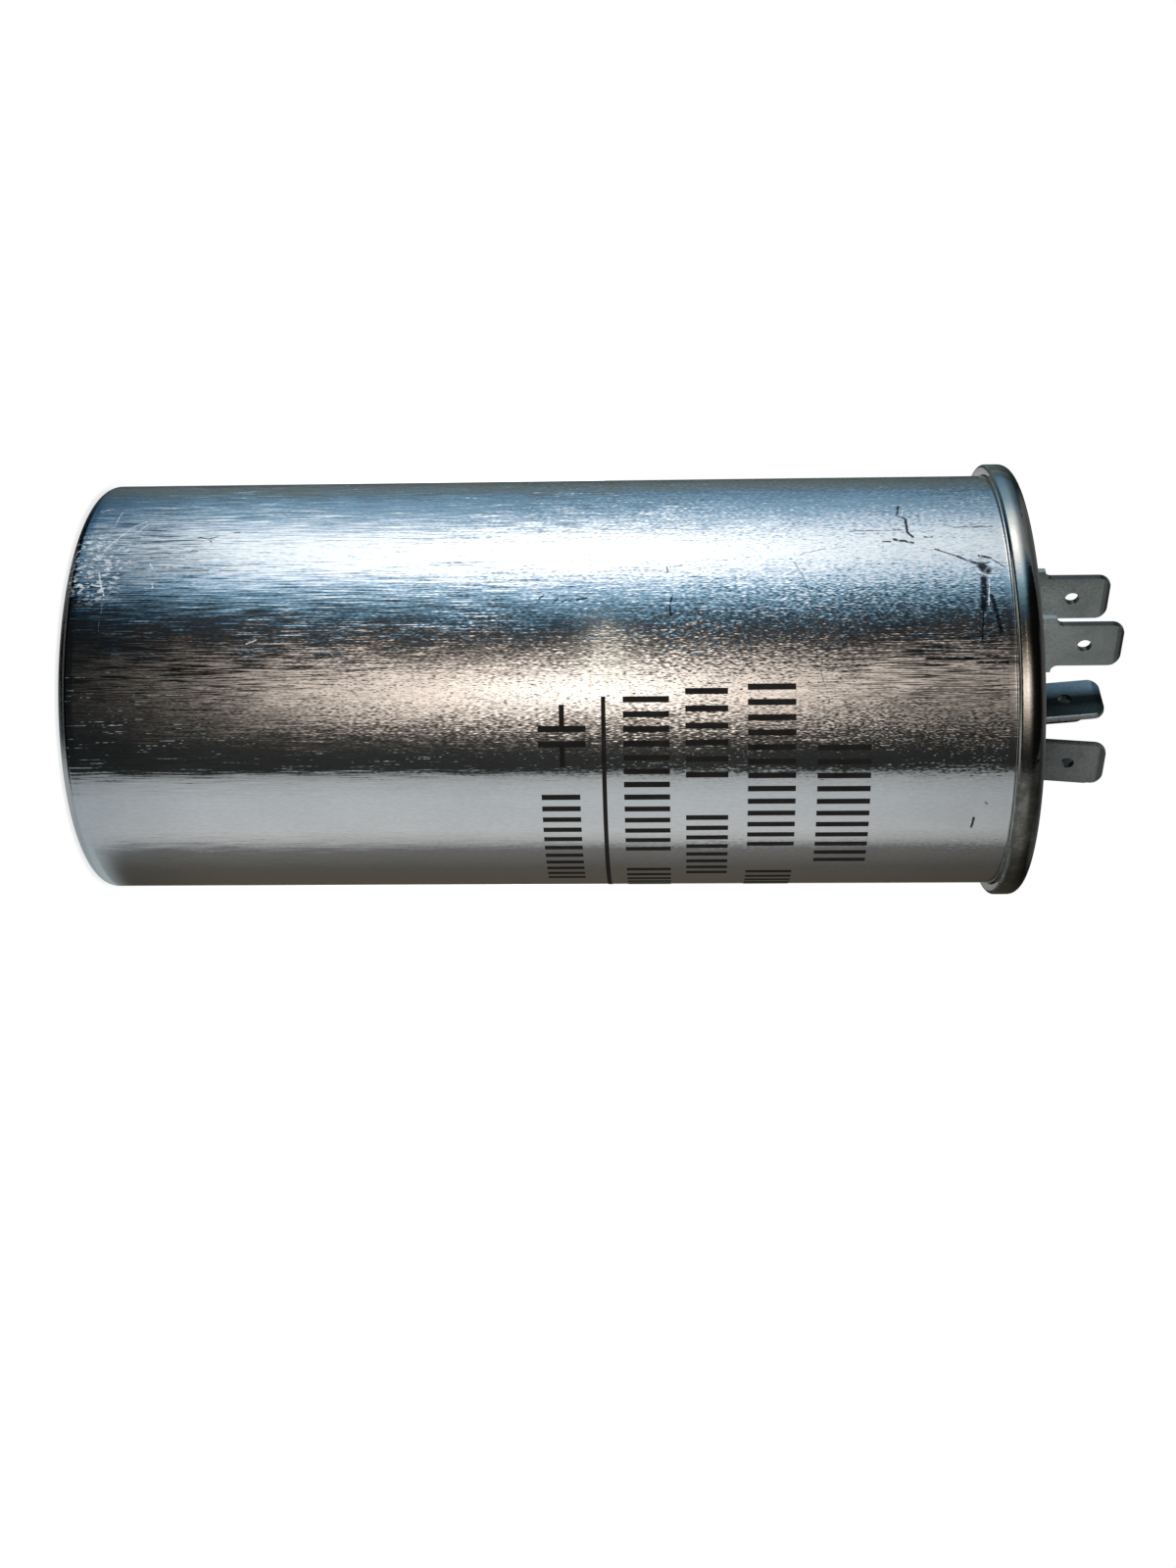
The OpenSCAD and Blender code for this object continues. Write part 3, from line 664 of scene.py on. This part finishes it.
def can_shape(r, a, z):
    """The radius of the can's outside with its dents and a slight waviness."""
    if r < CAN_R - 0.001 or z < CORNER_R or z > WALL_TOP:
        return r
    rel = (math.degrees(a) - FRONT + 180) % 360 - 180
    ease = min(1.0, (z - CORNER_R) / WAVE_EASE, (WALL_TOP - z) / WAVE_EASE)
    wave = sum(height * math.sin(count * a + twist * z + start) for height, count, twist, start in WAVES)
    r += (wave - WAVE_DEPTH) * ease
    for angle, height, round_half, along_half, depth in DENTS:
        across = math.radians(rel - angle) * CAN_R / round_half
        along = (z - height) / along_half
        r -= depth * math.exp(-across * across - along * along)
    return r


WALL_ROWS = 165
CAN_SEGMENTS = 400
FLOOR_MIDDLE_R = 12.0
corner_centre = (CAN_R - CORNER_R, CORNER_R)
hook_centre = (HOOK_FOLD_R, SEAM_FOLD_Z)
section = [(0.0, 0.0), (FLOOR_MIDDLE_R, 0.0)]
section += arc(corner_centre, CORNER_R, -90, 0, 12)
section += [(CAN_R, CORNER_R + (WALL_TOP - CORNER_R) * i / WALL_ROWS) for i in range(1, WALL_ROWS + 1)]
# The seaming roll's groove, 0.14 mm deep in the CAD, is left out: the photo shows a plain wall up to the seam
section += arc(hook_centre, HOOK_INSIDE_R, 180, 0, 6)
section += [(HOOK_FOLD_R + HOOK_INSIDE_R, HOOK_END_Z), (HOOK_FOLD_R + HOOK_OUTSIDE_R, HOOK_END_Z)]
section += arc(hook_centre, HOOK_OUTSIDE_R, 0, 180, 8)
section += arc(corner_centre, CORNER_R - CAN_WALL, 0, -90, 6)
section += [(0.0, CAN_WALL)]
can = lathe("can_wall", section, CAN_SEGMENTS, can_shape)
dress(can, aluminium)
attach(can, "root")
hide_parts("can")


# Terminals and their stacks: the CAD forms with the edges eased as stamping, moulding and riveting leave them

# Points nearer than this are one point, in m
WELD = 2e-7
# Faces that meet at less than the first angle are one flat face, and edges above the second are eased
FLAT_ANGLE = math.radians(0.4)
SHARP_ANGLE = math.radians(28)
# Cosine between the normals of neighbours that share one smooth face
SAME_FACE = 0.85


def eased_normals(mesh, fresh):
    """Normals that keep the flat faces flat and let the eased edges (face numbers in fresh) run into them."""
    around = [[] for _ in mesh.vertices]
    for face in mesh.polygons:
        for corner in face.vertices:
            around[corner].append(face)
    normals = []
    for face in mesh.polygons:
        for corner in face.vertices:
            kept = [f for f in around[corner] if f.index not in fresh]
            if face.index not in fresh:
                kept = [f for f in kept if f.normal.dot(face.normal) > SAME_FACE]
            group = kept or around[corner]
            normals.append(sum((f.normal * f.area for f in group), Vector()).normalized())
    mesh.shade_smooth()
    mesh.normals_split_custom_set(normals)


def softened(node_name, width, segments=2):
    """A copy of a CAD piece with its sharp edges rounded by width, in mm."""
    made = add_object(node_name + "_eased", bpy.data.meshes.new(node_name + "_eased"))
    shape = bmesh.new()
    shape.from_mesh(nodes[node_name].data)
    bmesh.ops.remove_doubles(shape, verts=shape.verts, dist=WELD)
    bmesh.ops.dissolve_limit(shape, angle_limit=FLAT_ANGLE, verts=shape.verts, edges=shape.edges)
    sharp = [e for e in shape.edges if len(e.link_faces) == 2 and e.calc_face_angle() > SHARP_ANGLE]
    result = bmesh.ops.bevel(shape, geom=sharp, offset=width * MM, segments=segments, profile=0.5,
                             affect="EDGES", clamp_overlap=True)
    shape.faces.index_update()
    fresh = {face.index for face in result["faces"]}
    shape.to_mesh(made.data)
    shape.free()
    eased_normals(made.data, fresh)
    dress(made, by_node[node_name])
    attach(made, "root")
    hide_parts(node_name)
    return made


# Width of the eased edges in mm, and the material slot
EASED = {
    "terminal_two_way": (0.07, "tab_tin"), "terminal_four_way": (0.07, "tab_tin"),
    "rivet_two_way": (0.2, "rivet_tin"), "rivet_four_way": (0.2, "rivet_tin"),
    "bushing_two_way": (0.12, "bushing_moulding"), "bushing_four_way": (0.12, "bushing_moulding"),
    "gasket_two_way": (0.15, "seal_rubber"), "gasket_four_way": (0.15, "seal_rubber"),
}
for node_name, (width, slot_name) in EASED.items():
    softened(node_name, width)


# Print: plain strokes in place of the maker's text

# Radii of the ink's two sides in mm, then angles in degrees
INK_SECTION_R = (CAN_R - 0.03, CAN_R + 0.02)
STROKE, STROKE_PITCH, BAR_STEP = 1.6, 3.7, 1.5
# Each is (first angle, last angle, low, high), in degrees and mm
RULE = (4.0, 96.0, 61.95, 62.45)
TWO_PLATE_SYMBOL = [
    (6.0, 11.5, 57.2, 57.8), (11.5, 13.2, 54.8, 60.2), (15.6, 17.3, 54.8, 60.2), (17.3, 22.8, 57.2, 57.8),
]
STROKE_ROWS = [
    (31.0, 70.0, 55.0, 59.4), (4.0, 52.0, 64.4, 69.6), (62.0, 92.0, 64.4, 69.6), (2.0, 26.0, 71.4, 76.2),
    (38.0, 66.0, 71.4, 76.2), (1.0, 50.0, 78.4, 83.8), (64.0, 90.0, 78.4, 83.8), (17.0, 58.0, 86.2, 92.2),
]


def bar(shape, start, end, low, high):
    """A thin closed plate on the can between two angles and two heights."""
    inside, outside = INK_SECTION_R
    steps = max(1, math.ceil((end - start) / BAR_STEP))
    rows = []
    for i in range(steps + 1):
        a = math.radians(FRONT + start + (end - start) * i / steps)
        rows.append([shape.verts.new((r * math.cos(a) * MM, r * math.sin(a) * MM, z * MM))
                     for r, z in ((inside, low), (outside, low), (outside, high), (inside, high))])
    for near, far in zip(rows, rows[1:]):
        for i in range(4):
            j = (i + 1) % 4
            shape.faces.new((near[i], far[i], far[j], near[j]))
    shape.faces.new(rows[0])
    shape.faces.new(rows[-1][::-1])


def print_marks():
    shape = bmesh.new()
    bar(shape, *RULE)
    for first, last, low, high in STROKE_ROWS:
        count = max(1, round((last - first) / STROKE_PITCH))
        for i in range(count):
            angle = first + (last - first - STROKE) * i / max(1, count - 1)
            bar(shape, angle, angle + STROKE, low, high)
    for plate in TWO_PLATE_SYMBOL:
        bar(shape, *plate)
    bmesh.ops.recalc_face_normals(shape, faces=shape.faces)
    mesh = bpy.data.meshes.new("print_marks")
    shape.to_mesh(mesh)
    shape.free()
    made = add_object("print_marks", mesh)
    dress(made, ink)
    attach(made, "root")


print_marks()
